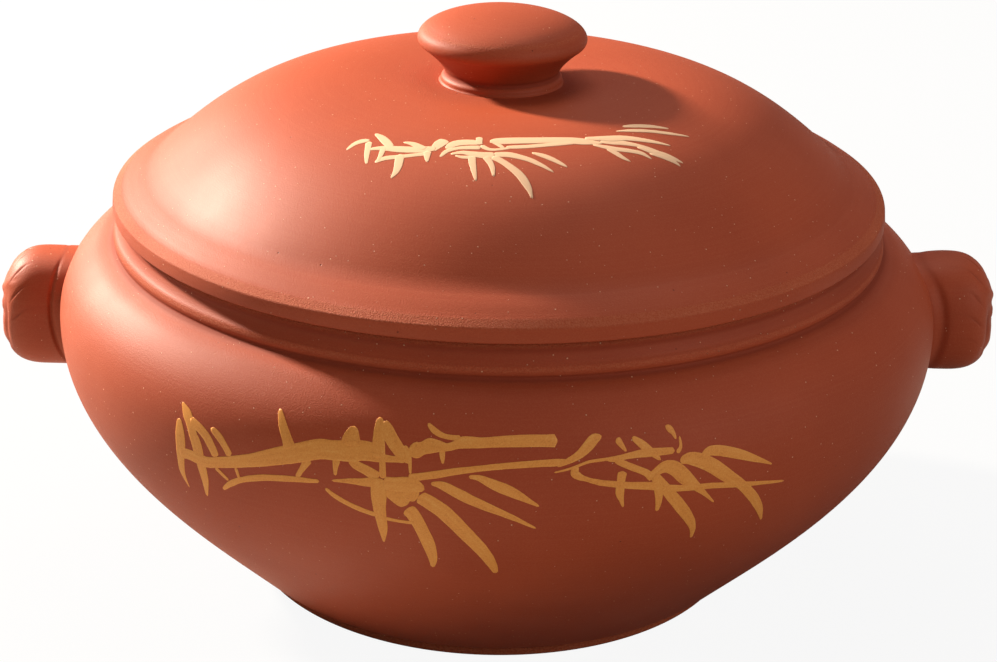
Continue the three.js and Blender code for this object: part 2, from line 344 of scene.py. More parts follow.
def beside(line):  # the unit step to the left of a line at each point
    return directions(line)[:, ::-1] * (-1, 1)


def inset(line, distance):  # a line moved sideways, inwards where it climbs the outside of a pot
    return line + distance * beside(line)


def tidyLine(line, closed):  # drops points closer than a hair
    apart = np.linalg.norm(np.diff(line, axis=0), axis=1) > hair
    line = line[np.concatenate([[True], apart])]
    if closed and np.linalg.norm(line[0] - line[-1]) < hair:
        line = line[:-1]
    return line


def edgesOf(line, closed, reach=0.9, sharp=0.45):  # a profile's length, convexity and hollowness at each point
    ends = np.vstack([line, line[:1]]) if closed else line
    length = lengths(ends)
    fine = np.arange(0, length[-1], walkStep)
    walk = np.stack([np.interp(fine, length, ends[:, axis]) for axis in (0, 1)], axis=1)
    heading = np.unwrap(np.arctan2(*np.gradient(walk, axis=0).T[::-1]))
    spread = bell(np.arange(-4 * reach, 4 * reach + walkStep / 2, walkStep) / reach)
    turn = np.convolve(np.gradient(heading, walkStep), spread / spread.sum(), mode="same")
    turn = np.interp(length[:len(line)], fine, turn)
    return length[:len(line)], unit(turn / sharp), unit(-turn / sharp)


# Turned surface: at an angle from the front and a place along the profile, the point lies at the profile's radius
# round the axis, moved a little by the potter's hand where shift gives an amount for that angle, radius and height
def turned(name, line, closed, shift=None, segments=256, sandy=None, damp=None):
    line = tidyLine(np.asarray(line, float), closed)
    climb, wear, hollow = edgesOf(line, closed)
    wear = sandy(line) if sandy else wear
    # painted shade: a mask of places to darken as shade is added to the hollows
    hollow = np.maximum(hollow, damp(line)) if damp else hollow
    angle = np.linspace(0, 2 * np.pi, segments, endpoint=False)[None, :]
    radius, height = line[:, :1] * roundness, line[:, 1:]
    out, lift = shift(angle, radius, height) if shift else (0, 0)
    away = radius + out * (radius > axisReach)
    points = np.stack([away * np.sin(angle), -away * np.cos(angle), height + lift + 0 * angle], axis=-1)
    quads = ringQuads(len(line), segments, closed)
    pole = np.repeat(line[:, 0] < axisReach, segments)  # a row on the axis is one point
    first = np.repeat(np.arange(len(line)) * segments, segments)
    quads = np.where(pole[quads], first[quads], quads)
    used, quads = np.unique(quads, return_inverse=True)
    climb, wear, hollow = [np.repeat(values, segments)[used] for values in (climb * mm, wear, hollow)]
    return buildMesh(name, points.reshape(-1, 3)[used], quads.reshape(-1, 4), climb=climb, wear=wear, hollow=hollow)


def plainRing(name, ring):  # a turned ring with rounded lower corners, its top sunk into the piece above
    outer, inner, low, top = ring.outer, ring.outer - ring.width, ring.low, ring.high + ring.sink
    corners = [(inner, top, 0), (inner, low, ring.rounding), (outer, low, ring.rounding), (outer, top, 0)]
    return turned(name, soften([*corners, corners[0]]), True)


def handWaves(waves, angle, height):  # waves round a piece, each as (count, share, phase, lean with the height)
    return sum(share * np.sin(count * angle + lean * height + phase) for count, share, phase, lean in waves)


def crestOf(waves):  # the most that the waves can add up to
    return sum(wave[1] for wave in waves)


# Bowl: a cone that turns over at the belly, a shoulder, a groove, a bead and a collar up to the mouth
bowl = Values(
    bellyRadius=bowlHigh[0], bellyHeight=77, baseHeight=bowlLow[2], mouthHeight=bowlHigh[2],
    baseRadius=74.5, baseRounding=0.8, soleWidth=12, heelSteps=3, coneSlope=45, coneRun=36.8,
    bellyRise=27, shoulderRise=11, shoulderSlope=32, shoulderRun=9.4, neckHeight=99,
    neckRadius=111.4, grooveSoftness=7, grooveLead=6, grooveRadius=108.9, grooveRise=1.2,
    beadRadius=109.2, beadRise=2.6, beadSwell=0.1, beadSpring=0.9, beadTurn=1, beadSoftness=0.4,
    collarRadius=106.9, collarSlack=0.5, collarRounding=2.8, rounding=1,
    dampDrop=2.3, dampReach=1.0, dampDepth=1, mouthRadius=99.5, lipWidth=3, lipRounding=2,
    wall=6.5, floor=7, floorFillet=6, floorRun=3, holeRadius=24, holeRim=8, holeDepth=2,
    wobble=0.1, waves=[(2, 1, 0.6, 0.02), (3, 0.6, 0, -0.03), (5, 0.35, 2, 0.05)],
)


def bellyLine():
    b = bowl
    slope, fall = math.radians(b.coneSlope), math.radians(b.shoulderSlope)
    low = curve(
        (b.baseRadius, b.baseHeight),
        (b.baseRadius + b.coneRun * math.cos(slope), b.baseHeight + b.coneRun * math.sin(slope)),
        (b.bellyRadius, b.bellyHeight - b.bellyRise),
        (b.bellyRadius, b.bellyHeight), steps=80)
    high = curve(
        (b.bellyRadius, b.bellyHeight),
        (b.bellyRadius, b.bellyHeight + b.shoulderRise),
        (b.neckRadius + b.shoulderRun * math.cos(fall), b.neckHeight - b.shoulderRun * math.sin(fall)),
        (b.neckRadius, b.neckHeight), steps=50)
    return np.vstack([low, high[1:]])


def neckLine(shoulder):  # from the end of the shoulder, up a soft groove, over the bead and up the collar
    b = bowl
    onward = shoulder[-1] + b.grooveLead * (shoulder[-1] - shoulder[-2])
    groove, bead, collar = b.grooveRadius, b.beadRadius, b.collarRadius
    low = b.neckHeight + b.grooveRise
    high = low + b.beadRise
    mouth, top = b.mouthHeight, b.mouthHeight - b.collarRounding
    crest = (bead - b.beadSoftness, high)
    return np.vstack([
        curve(shoulder[-1], onward, (groove, b.neckHeight), (groove, low), steps=16),
        curve((groove, low), (bead + b.beadSwell, low + b.beadSpring), (bead, high - b.beadTurn), crest,
              steps=14)[1:],
        curve(crest, (collar + b.collarSlack, (high + top) / 2), (collar, top), steps=10)[1:],
        curve((collar, top), (collar, mouth), (collar - b.collarRounding, mouth), steps=8)[1:],
    ])


def bellyShift(angle, radius, height):  # slow waves left by the hand, only ever inwards
    wave = handWaves(bowl.waves, angle, height)
    return bowl.wobble * (wave - crestOf(bowl.waves)) / 2, 0 * angle


def collarShade(line):  # painted shade: darkens the collar just under the overhanging edge of the lid
    below = bowl.mouthHeight - bowl.dampDrop - line[:, 1]
    return bell(below / bowl.dampReach) * (line[:, 0] > bowl.collarRadius - bowl.dampDepth)


def potBowl():
    b = bowl
    outside = bellyLine()
    base, top, mouth, hole = b.baseHeight, b.mouthHeight, b.mouthRadius, b.holeRadius
    floor = base + b.floor
    inside = inset(outside, b.wall)
    inside = inside[inside[:, 1] > floor + b.floorFillet][::-1]
    flat = inside[-1][0] - b.floorRun
    inHole = (hole, floor - b.holeDepth, 0)
    sole = soften([inHole, (hole, base, b.baseRounding), (b.baseRadius - b.soleWidth, base, 0)])
    heel = curve((b.baseRadius - b.baseRounding, base), outside[0], outside[b.heelSteps - 1])
    shoulder = outside[b.heelSteps:-b.grooveSoftness]
    lip = soften([(mouth + b.lipWidth, top, 0), (mouth, top, b.rounding),
                  (mouth, (top + inside[0][1]) / 2, b.lipRounding), (*inside[0], 0)])
    bottom = curve(inside[-1], (flat, floor), (flat - b.floorFillet, floor), steps=12)
    rim = soften([(hole + b.holeRim, floor, 0), (hole, floor, b.rounding), inHole])
    line = np.vstack([sole, heel, shoulder, neckLine(shoulder)[1:], lip, inside, bottom, rim])
    return turned("thrown_bowl", line, True, bellyShift, damp=collarShade)


dress(potBowl(), "pot", "burnished_red_clay", "pot_bowl")


# Foot ring: a low turned ring, luted under the bowl
foot = Values(outer=footHigh[0], width=10, low=footLow[2], high=footHigh[2], sink=0.35, rounding=1)

dress(plainRing("luted_foot_ring", foot), "pot", "bare_red_clay", "foot_ring")


# Steam chimney: a spout that narrows along a slack curve over the hole in the floor
chimney = Values(
    footBore=24, topBore=7, wall=6, waist=0.55, waistAt=1 / 3, lip=1.5, spread=4, sink=0.4,
    filletOut=0.6, filletDrop=0.1, filletSteps=6,
)


def steamChimney():
    c = chimney
    low, top = chimneyLow[2], chimneyHigh[2]
    sunk, lipLow = low - c.sink, top - c.lip
    waist = c.footBore + (c.topBore - c.footBore) * c.waist
    bore = curve((c.footBore, low), (waist, low + (top - low) * c.waistAt), (c.topBore, top), steps=50)
    outside = inset(bore, -c.wall)
    outside = outside[outside[:, 1] < lipLow]
    edge, brim = outside[0][0], c.topBore + c.wall
    spread = curve((edge + c.spread, sunk), (edge + c.filletOut, low - c.filletDrop),
                   outside[c.filletSteps - 1], steps=10)
    lip = curve((brim, lipLow), (brim, top), (c.topBore + c.wall / 2, top), (c.topBore, lipLow), steps=14)
    line = np.vstack([
        [(bore[0][0], sunk)], spread, outside[c.filletSteps:], lip, bore[bore[:, 1] < lipLow][::-1]])
    return turned("thrown_steam_chimney", line, True, segments=128)


dress(steamChimney(), "pot", "bare_red_clay", "steam_chimney")


# Lid: an upright edge, a bevel, a softly swelling flange and a flat-crowned dome
lid = Values(
    radius=lidHigh[0], seat=lidLow[2], edge=3.75, bevelWidth=2.5, bevelRise=1.7,
    flangeWidth=8.8, flangeRise=4.6, flangeSwell=0.35, flangeStart=4, domeRise=24,
    springOut=18.2, springUp=17, crownRadius=20, crownPull=41, crownSwell=4.2, wall=6.2,
    bore=93.8, boreRounding=2, seatRounding=0.5, edgeRounding=0.45, bevelRounding=0.3,
    creaseStart=14, creaseEnd=4, sandReach=1.8, smear=0.5, smearRadius=22, smearReach=7,
    wobble=0.14, waveRadius=95, waveReach=8, waveFrom=1.5, waveRise=2,
    waves=[(2, 1, 1.3, 0), (3, 0.7, 0.4, 0), (7, 0.4, 2.2, 0)],
)
lidBevel = (lid.radius - lid.bevelWidth, lid.seat + lid.edge + lid.bevelRise)
lidCrease = (lidBevel[0] - lid.flangeWidth, lidBevel[1] + lid.flangeRise)
lidCrown = lidCrease[1] + lid.domeRise


def domeLine():
    crease, crown = lidCrease, lidCrown
    return curve(crease, (crease[0] - lid.springOut, crease[1] + lid.springUp),
                 (lid.crownRadius + lid.crownPull, crown + lid.crownSwell),
                 (lid.crownRadius, crown), steps=90)


def lidShift(angle, radius, height):  # the rim waves a little, the dome and the seat stay true
    rim = unit((radius - lid.waveRadius) / lid.waveReach)
    rim = rim * unit((height - lid.seat - lid.waveFrom) / lid.waveRise)
    wave = handWaves(lid.waves, angle, height)
    return lid.wobble * rim * (wave - crestOf(lid.waves)) / 2, lid.wobble * rim * wave


def lidSand(line):  # the bevel was trimmed and left sandy, and slip was smeared round the knob
    middle = (lidBevel[0] + lid.bevelWidth / 2, lidBevel[1] - lid.bevelRise / 2)
    bevel = np.exp(-(np.hypot(line[:, 0] - middle[0], line[:, 1] - middle[1]) / lid.sandReach) ** 4)
    smear = lid.smear * bell((line[:, 0] - lid.smearRadius) / lid.smearReach)
    return np.maximum(bevel, smear * (line[:, 1] > lidCrown - lid.wall / 2))


def lidDome():
    d = lid
    outside = domeLine()
    inside = inset(outside, d.wall)
    inside = inside[inside[:, 0] < d.bore - d.wall / 2][::-1]
    shoulder = d.seat + d.edge
    swell = ((lidBevel[0] + lidCrease[0]) / 2, (lidBevel[1] + lidCrease[1]) / 2 + d.flangeSwell)
    flange = curve(lidBevel, swell, lidCrease, steps=20)
    rim = soften([
        (*inside[-1], 0), (d.bore, shoulder, d.boreRounding), (d.bore, d.seat, d.seatRounding),
        (d.radius, d.seat, d.seatRounding), (d.radius, shoulder, d.edgeRounding),
        (*lidBevel, d.bevelRounding), (*flange[d.flangeStart - 1], 0)], steps=9)
    crease = curve(flange[d.creaseStart], lidCrease, outside[d.creaseEnd], steps=14)
    line = np.vstack([[(0, lidCrown - d.wall)], inside, rim[1:], flange[d.flangeStart:d.creaseStart], crease,
                      outside[d.creaseEnd + 1:], [(0, lidCrown)]])
    return turned("thrown_lid", line, False, lidShift, sandy=lidSand)


dress(lidDome(), "lid", "burnished_red_clay", "lid_dome")


# Locating ring: the skirt under the lid that drops into the mouth
skirt = Values(outer=ringHigh[0], width=4.5, low=ringLow[2], high=ringHigh[2], sink=0.35, rounding=1.5)

dress(plainRing("luted_locating_ring", skirt), "lid", "bare_red_clay", "lid_locating_ring")


# Knob: a soft-topped disc on a short waisted stem that flares out as a cone, luted on with a smear of slip
knob = Values(
    radius=knobHigh[0], baseRadius=17, ringRise=0.5, waistRadius=15.9, waistHeight=2.7,
    waistPull=1.2, flareOut=1.3, flareUp=3.1, coneRadius=22.2, coneTop=9.8, coneTurn=0.9,
    equator=12, sink=0.35, smear=0.5, smearRise=1.6, smearWave=0.25, smearInner=8,
    waves=[(3, 1, 0.5, 0), (5, 0.7, 2, 0), (11, 0.5, 1, 0)], sandHeight=15, sandReach=0.8, sand=0.7,
)


def knobSand(line):  # a little sand where the top turns down
    return knob.sand * bell((line[:, 1] - knobLow[2] - knob.sandHeight) / knob.sandReach)


def knobShift(angle, radius, height):  # the slip at the foot was smeared by a finger
    low = unit(1 - (height - knobLow[2] + knob.sink) / knob.smearRise) ** 2
    wave = handWaves(knob.waves, angle, height)
    return knob.smearWave * knob.smear * low * wave * (radius > knob.smearInner), 0 * angle


def lidKnob():
    k = knob
    seat, top, base, stem, wide = knobLow[2], knobHigh[2], k.baseRadius, k.waistRadius, k.radius
    ring, waist, equator = seat + k.ringRise, seat + k.waistHeight, seat + k.equator
    cone, pull = (k.coneRadius, seat + k.coneTop), k.waistPull
    turn = np.linspace(0, np.pi / 2, 49)[1:]
    line = np.vstack([
        [(0, seat - k.sink)],
        curve((base + k.smear, seat - k.sink), (base, seat), (base, ring), steps=8),
        curve((base, ring), (base, ring + pull), (stem, waist - pull), (stem, waist), steps=14)[1:],
        curve((stem, waist), (stem + k.flareOut, waist + k.flareUp), cone, steps=24)[1:],
        curve(cone, (wide, cone[1] + k.coneTurn), (wide, equator), steps=12)[1:],
        np.stack([wide * np.cos(turn), equator + (top - equator) * np.sin(turn)], axis=1),  # a flat ellipse
    ])
    return turned("thrown_knob", line, False, knobShift, 160, knobSand)


dress(lidKnob(), "lid", "burnished_red_clay", "lid_knob")


# Beast-head lugs: a stub with a squarish section, a crease behind the head, a face pressed into its end and a mane
# scored round it. Each mark of the face is a soft spot at (side, up) in half widths and half heights, lifted or sunk
# in millimetres.
lug = Values(
    reach=lugHigh[0] - bowlHigh[0], width=30, height=34, dropRight=0.3, dropLeft=4.3,
    squareness=2.35, shoulder=4, endRounding=2.6, endLean=0.6, noseLift=0.5, faceBlend=0.5,
    creaseAt=3.0, creaseRight=1.5, creaseLeft=0.6, creaseDepth=0.05, creaseStain=9,
    flare=0.03, flareReach=2.0, sink=0.5, sinkEase=8, neckRight=1.3, neckLeft=0.2, neckEase=1.5,
    maneLines=15, maneDepth=0.55, maneWidth=0.5, maneSwirl=-26, maneAt=0.16, maneReach=0.12,
    maneFrom=-0.35, maneRise=0.3, maneStain=0.7, wear=0.5, wearLift=3, stain=0.8, spare=0.02,
)
lugFace = {  # (side, up), (half width, half height), slant, lift
    "foreheadLine": ((0, 0.66), (0.4, 0.05), -0.35, -0.6),
    "ear": ((0.66, 0.66), (0.14, 0.13), 0, 0.4),
    "earHole": ((0.67, 0.66), (0.05, 0.06), 0, -0.6),
    "brow": ((0.38, 0.44), (0.25, 0.1), 0.45, 0.5),
    "socket": ((0.4, 0.12), (0.27, 0.2), 0, -1.2),
    "eye": ((0.4, 0.13), (0.14, 0.11), 0, 1.4),
    "pupil": ((0.4, 0.13), (0.045, 0.045), 0, -0.5),
    "bridge": ((0, 0.24), (0.12, 0.22), 0, 0.3),
    "nose": ((0, -0.14), (0.28, 0.12), -0.15, lug.noseLift),
    "nostril": ((0.16, -0.2), (0.06, 0.05), 0, -0.8),
    "muzzle": ((0.3, -0.4), (0.22, 0.11), 0, 0.35),
    "lipCleft": ((0, -0.4), (0.04, 0.11), 0, -0.4),
    "mouth": ((0.38, -0.57), (0.28, 0.07), 0.2, -0.4),
    "chin": ((0, -0.78), (0.3, 0.1), 0, 0.1),
    "jowlLine": ((0.68, -0.12), (0.08, 0.34), 0, -0.8),
}


def faceRelief(side, up):  # the sum of the face's soft spots, each a bell curve, the same on both sides
    relief = np.zeros(np.broadcast(side, up).shape)
    for (markSide, markUp), (wide, tall), slant, lift in lugFace.values():
        aside = np.abs(side) - markSide
        rise = up - markUp - slant * aside
        relief = relief + lift * np.exp(-(aside / wide) ** 2 - (rise / tall) ** 2)
    return relief


def bellyAt(side, height):  # how far out the belly's skin is at a place beside the lug's axis
    line = bellyLine()
    radius = np.interp(height, line[:, 1], line[:, 0]) * roundness - bowl.wobble
    return np.sqrt(radius ** 2 - side ** 2)


# A lug's level slices: out along one side, round the face, back along the other side and home inside the belly
def beastLug(name, turn, drop, neck, creaseWidth):
    u, q = lug, lug.squareness
    up = np.sin(np.linspace(-np.pi / 2, np.pi / 2, 170))[:, None]
    half = unit(1 - np.abs(up) ** q) ** (1 / q)
    run = np.linspace(0, 1, 40)[None, :]
    sweep = np.linspace(0, np.pi, 190)[None, 1:-1]

    height = bowl.bellyHeight - drop + up * u.height / 2
    shoulderX = bowlHigh[0] + u.shoulder
    rootX = bellyAt(half * u.width / 2, height)
    fromRoot = run * (shoulderX - rootX)
    crease = u.creaseDepth * bell((fromRoot - u.creaseAt) / creaseWidth)
    grow = 1 - crease + u.flare * bell(fromRoot / u.flareReach)
    sideY = half * u.width / 2 * grow
    sideZ = height - neck * unit(up) ** 2 * (1 - run) ** u.neckEase  # the neck dips a little at the top
    sideX = bellyAt(sideY, sideZ) * (1 - run) + shoulderX * run - u.sink * (1 - run) ** u.sinkEase

    across = -half * np.cos(sweep)
    span = np.abs(across) ** q + np.abs(up) ** q
    fromEdge = unit(1 - span ** ((u.endRounding - u.endLean * up) / q))
    face = unit(fromEdge / u.faceBlend)
    face = face * face * (3 - 2 * face)
    relief = face * faceRelief(across, up)
    turns = u.maneLines * np.arctan2(up, np.abs(across)) + u.maneSwirl * np.sqrt(span)
    score = bell((np.mod(turns, 2 * np.pi) - np.pi) / u.maneWidth)  # one line in each turn
    band = bell((fromEdge - u.maneAt) / u.maneReach)
    mane = score * band * unit((up - u.maneFrom) / u.maneRise)
    middle = u.reach - u.noseLift - u.shoulder
    faceX = shoulderX + middle * np.cbrt(fromEdge) + relief - u.maneDepth * mane
    faceX = np.minimum(faceX, lugHigh[0] - u.spare)
    faceY = across * u.width / 2
    faceZ = height + 0 * across

    home = np.linspace(1, -1, 30)[None, 1:-1]
    homeY = sideY[:, :1] * home
    homeZ = sideZ[:, :1] + 0 * home
    homeX = bellyAt(homeY, homeZ) - u.sink
    x = np.hstack([sideX, faceX, sideX[:, ::-1], homeX])
    y = np.hstack([-sideY, faceY, sideY[:, ::-1], homeY])
    z = np.hstack([sideZ, faceZ, sideZ[:, ::-1], homeZ])
    points = np.stack([turn * x, turn * y, z], axis=-1)

    flat = np.zeros_like(sideX)
    # Painted shade: the crease behind the head, the sunk marks of the face and the mane's scores are darkened through
    # the hollow mark
    stain = u.creaseStain * crease
    dipShade = unit(-relief) + u.maneStain * mane
    wear = np.hstack([flat, unit(relief / u.wearLift), flat, 0 * homeX]) * u.wear
    hollow = np.hstack([stain, unit(dipShade), stain[:, ::-1], 0 * homeX]) * u.stain
    return buildMesh(
        name, points.reshape(-1, 3), ringQuads(*x.shape, False), climb=z * mm, wear=wear, hollow=hollow)


rightLug = beastLug("beast_lug_right", 1, lug.dropRight, lug.neckRight, lug.creaseRight)
leftLug = beastLug("beast_lug_left", -1, lug.dropLeft, lug.neckLeft, lug.creaseLeft)
dress(rightLug, "pot", "burnished_red_clay", "handle_right")
dress(leftLug, "pot", "burnished_red_clay", "handle_left")


# Bamboo in ochre slip, each stroke as places with the brush's width there. On the belly a place is the distance
# round from the front, measured at the widest part, and the height; on the lid it is the place seen from above.
brush = Values(
    thickness=0.05, thicknessStep=0.004, layers=9, station=0.4, leastStations=14, leastHalf=0.08,
    tipRounding=0.7, tipShare=0.03, flatHalf=0.25, edgeTremble=0.05, trembleRun=5, trembleHalf=0.6,
    toneStep=3.7, bellyFade=0.0, lidFade=0.75,
)
bellyBamboo = [
    # left tuft and the stout lower stalk with its stubs
    [(-86.3, 81.5, 1.4), (-85.9, 78, 3.2), (-85.9, 74, 3.4), (-86.5, 70, 2.6), (-87, 66, 2), (-86.2, 61.2, 0.4)],
    [(-86.1, 85.7, 0.5), (-83.8, 83.4, 3), (-82.4, 81.3, 2.8), (-81.2, 78.7, 3), (-79.9, 75.7, 3.6),
     (-79, 70, 3.2), (-78.8, 66, 2.4), (-79.9, 60.6, 0.6)],
    [(-82.6, 82.3, 2.4), (-78.6, 80.7, 2.6), (-76.4, 79.1, 2.7), (-74.7, 76.8, 2.7), (-73.6, 74.6, 2.4)],
    [(-75.3, 82, 1.4), (-72.9, 80.7, 2.2), (-70.8, 78.7, 2.1), (-69, 76.2, 2.2)],
    [(-86.4, 71.7, 2.6), (-83, 72.4, 3.2), (-78, 72.1, 3.3), (-74.2, 72.9, 3.1), (-67.6, 75, 3.3),
     (-61.4, 77.1, 3.8), (-55.9, 79.2, 4.5), (-50.6, 81.1, 4.9), (-44, 83.4, 5), (-40, 83.8, 4.8),
     (-35.7, 84.3, 5.3), (-31.8, 84.8, 4.7), (-27, 84.6, 4.2)],
    [(-56.3, 90.6, 0.9), (-54.6, 87.6, 2.2), (-52.7, 84.5, 2.8), (-51.6, 82.3, 3.6)],
    [(-74.2, 71.5, 1.2), (-70.3, 68.8, 1)],
    [(-67.4, 73.4, 1), (-66.7, 70.5, 0.9)],
    [(-72.8, 65.3, 0.8), (-69.7, 68, 1.7), (-65.4, 70.5, 1.7), (-58.8, 72.8, 1.8), (-50.1, 74.4, 1.6),
     (-43.4, 75.2, 1)],
    [(-46.2, 80.8, 2.6), (-48, 77.6, 1.5), (-49.5, 75, 1.3)],
    [(-38.9, 82, 2.4), (-39.1, 79.5, 1.3), (-39.1, 77.6, 0.8)],
    [(-35.7, 85.5, 5.2), (-35.6, 87.6, 4.4), (-35.3, 89.9, 1.8)],
    [(-29.3, 92.3, 1.5), (-28.9, 90.5, 2.6), (-28.7, 88.8, 3), (-28.5, 86.5, 3.2), (-28, 83.6, 3)],
    [(-28.2, 91.5, 2), (-26.6, 89.7, 3), (-25, 87.7, 3.2), (-23.4, 86.1, 3.2), (-22, 84.5, 2.8)],
    [(-28, 83.7, 2), (-24, 83.7, 1.5), (-21.4, 84, 1.8)],
    # the knot between the stalks and its drips
    [(-22.6, 86.8, 2), (-21.4, 85.2, 2.4), (-20.6, 83, 1.6)],
    [(-20.5, 85, 1), (-20.2, 82, 0.8), (-20.1, 80.5, 0.6)],
    # upper stalk, its small leaf and stub
    [(-20.6, 87, 2.6), (-19.1, 86.3, 3.8), (-17.4, 86.8, 3), (-15.8, 87.4, 3.4), (-13.5, 87.5, 2.6),
     (-11.5, 87.4, 1.8), (-9.6, 87.9, 1.9), (-7.5, 88.6, 2.6), (-2.5, 88.7, 2.3), (3.9, 89.1, 2.5),
     (10.2, 89.2, 2.6), (15.8, 89.1, 2.8)],
    [(-16.7, 92, 0.7), (-14.9, 90.7, 1.4), (-12, 89.7, 1.1), (-8, 89.4, 1.3)],
    [(-12.6, 86.8, 1.6), (-12.4, 85, 1.2), (-12.2, 83.6, 0.5)],
    # the hanging leaves below the knot
    [(-35.4, 82.4, 2), (-33.8, 81.2, 2.3), (-30.8, 80, 2.6), (-28, 78.6, 3)],
    [(-40, 76.1, 0.6), (-35.4, 76.7, 1.4), (-31.5, 77, 2.3), (-27.6, 77.6, 3)],
    [(-28.1, 78.6, 3.6), (-28, 74, 4), (-27.9, 69.8, 3.3), (-27.6, 66.7, 2.9), (-27.4, 63.5, 2.3),
     (-27.6, 59.4, 0.5)],
    [(-27.2, 83.4, 1.6), (-26.9, 78.6, 1.8)],
    [(-41.8, 73.6, 0.8), (-39.7, 72, 1.3), (-36.5, 70.4, 1.4), (-33, 69.1, 1.4), (-28.6, 68, 1.4)],
    [(-26.6, 67.3, 1), (-22.8, 66.9, 0.9), (-19, 66.8, 1)],
    [(-26.8, 77.4, 3.4), (-24, 77.4, 3.8), (-19.6, 77.6, 4), (-16.6, 76.7, 1.6)],
    [(-26, 75.8, 3), (-24, 74.6, 4), (-22.1, 73.2, 4.2), (-20.9, 72, 3)],
    [(-19.4, 77, 3.4), (-19.9, 75.2, 4), (-20.7, 73.3, 2.6)],
    [(-20.9, 71, 3.4), (-20.2, 70.2, 3.8), (-19.1, 68.6, 3.7), (-17.5, 65, 3.5), (-16, 60.4, 3.5),
     (-15.2, 55.3, 2.5), (-15.5, 51.7, 1)],
    [(-17.9, 74.8, 3.2), (-17, 74.2, 3.8), (-15.1, 73.1, 4), (-11.7, 70.6, 4.2), (-8.1, 66.5, 4.1), (-5, 62.6, 4),
     (-1.8, 58, 3.5), (0.3, 53.7, 2.6), (1.3, 50.5, 1.2)],
    [(-15, 78.5, 0.8), (-12.2, 78.1, 2.2), (-8.1, 76.1, 2.8), (-3.5, 73.8, 2.6), (1.1, 71.7, 2), (5.8, 69.4, 1.4),
     (10.9, 66.5, 0.5)],
    [(-5.8, 80.8, 1), (-3.2, 80.5, 1.6), (0.5, 78.8, 2.7), (4.2, 77.2, 2.8), (7.8, 75.2, 1.8), (11.4, 73, 0.5)],
    [(-20.5, 79.2, 2.6), (-17.2, 80.1, 1.9), (-12.8, 81.1, 1.9), (-8, 82.1, 1.7), (-2.2, 83, 1.5),
     (3.9, 83.7, 1.6), (10, 84.1, 1.7), (15.5, 84.3, 1.8), (18.6, 84.4, 1)],
    # right spray
    [(14.8, 81.9, 0.4), (18.7, 82.7, 0.6), (23.5, 84.1, 0.7), (27.7, 84.4, 0.8), (30.2, 84.4, 1)],
    [(15.5, 83.5, 0.6), (16.9, 84, 1.2), (20.6, 85.6, 1.9), (23.2, 87.5, 2.5), (25, 89, 2.4), (27, 89.6, 0.8)],
    [(30.8, 88.9, 1.8), (31.9, 87.3, 1.3), (33, 85.8, 0.5)],
    [(34.8, 88.8, 1), (36.9, 87.3, 1.9), (38.8, 85.6, 2), (41.8, 82.9, 0.7)],
    [(28, 84.4, 0.9), (30, 84.3, 1.4), (33.8, 84.8, 1.5), (37.8, 85, 2), (41.8, 84.9, 1.9), (45.6, 84.7, 1.6)],
    [(44, 90.3, 0.8), (45, 89.6, 1.6), (45.8, 88.6, 1.2), (46.3, 87.2, 0.5)],
    [(47.3, 87.8, 0.5), (47.3, 85.4, 0.9), (46.2, 84, 1.2)],
    [(30, 84.1, 1.2), (30.9, 83.6, 1.6), (33.7, 82.2, 1.7), (37.5, 80.4, 1.8), (39.8, 78.4, 2.2)],
    [(20.6, 83.3, 1), (19.9, 81.7, 2.2), (21, 80.6, 1.8), (23, 79.8, 1.2), (26.1, 78.8, 1.5), (30, 78, 1.7),
     (34.4, 77.2, 1.9), (39.1, 76.5, 2.2), (43.5, 75.3, 1.9), (49.8, 74.4, 1.7), (56, 73.8, 1.6),
     (62.9, 72.6, 1.5), (70.2, 71.3, 1.2), (79, 69.6, 0.5)],
    [(31.9, 81.2, 2.4), (31.5, 79, 2.2), (31.3, 75.7, 2.2), (31.8, 73.4, 1.3), (32.4, 71.4, 0.5)],
    [(40.4, 79.4, 2.6), (41.4, 74.8, 2.3), (41.6, 71.6, 1.7), (41.4, 69, 0.9)],
    [(39.5, 79.8, 2.2), (41.5, 77.4, 2.6), (44.1, 74, 2.9), (47.6, 69.5, 3.2), (51, 64.8, 2.7), (52.8, 61.3, 1.7),
     (53.2, 58, 0.6)],
    [(39, 79.2, 1.6), (42.7, 81, 3), (45.5, 80.2, 3.8), (48.4, 77.4, 3.8), (51.4, 74.6, 2.4), (54.5, 71.6, 1.2),
     (57.3, 68.7, 0.4)],
    [(46.9, 82, 1.6), (49.7, 82.2, 3.2), (52.9, 81, 3.7), (56.4, 78.9, 3.8), (60.4, 75.6, 3.5), (64.6, 72.4, 2.7),
     (69, 67.8, 2.8), (72.6, 63, 2.2), (75.2, 58.2, 0.6)],
    [(53, 82.2, 1.4), (54.9, 83.1, 2.3), (57.5, 82.9, 2.7), (62.7, 81.2, 2.7), (67.2, 79.2, 2.1),
     (70.6, 77.6, 1.2), (74, 75.8, 0.4)],
]
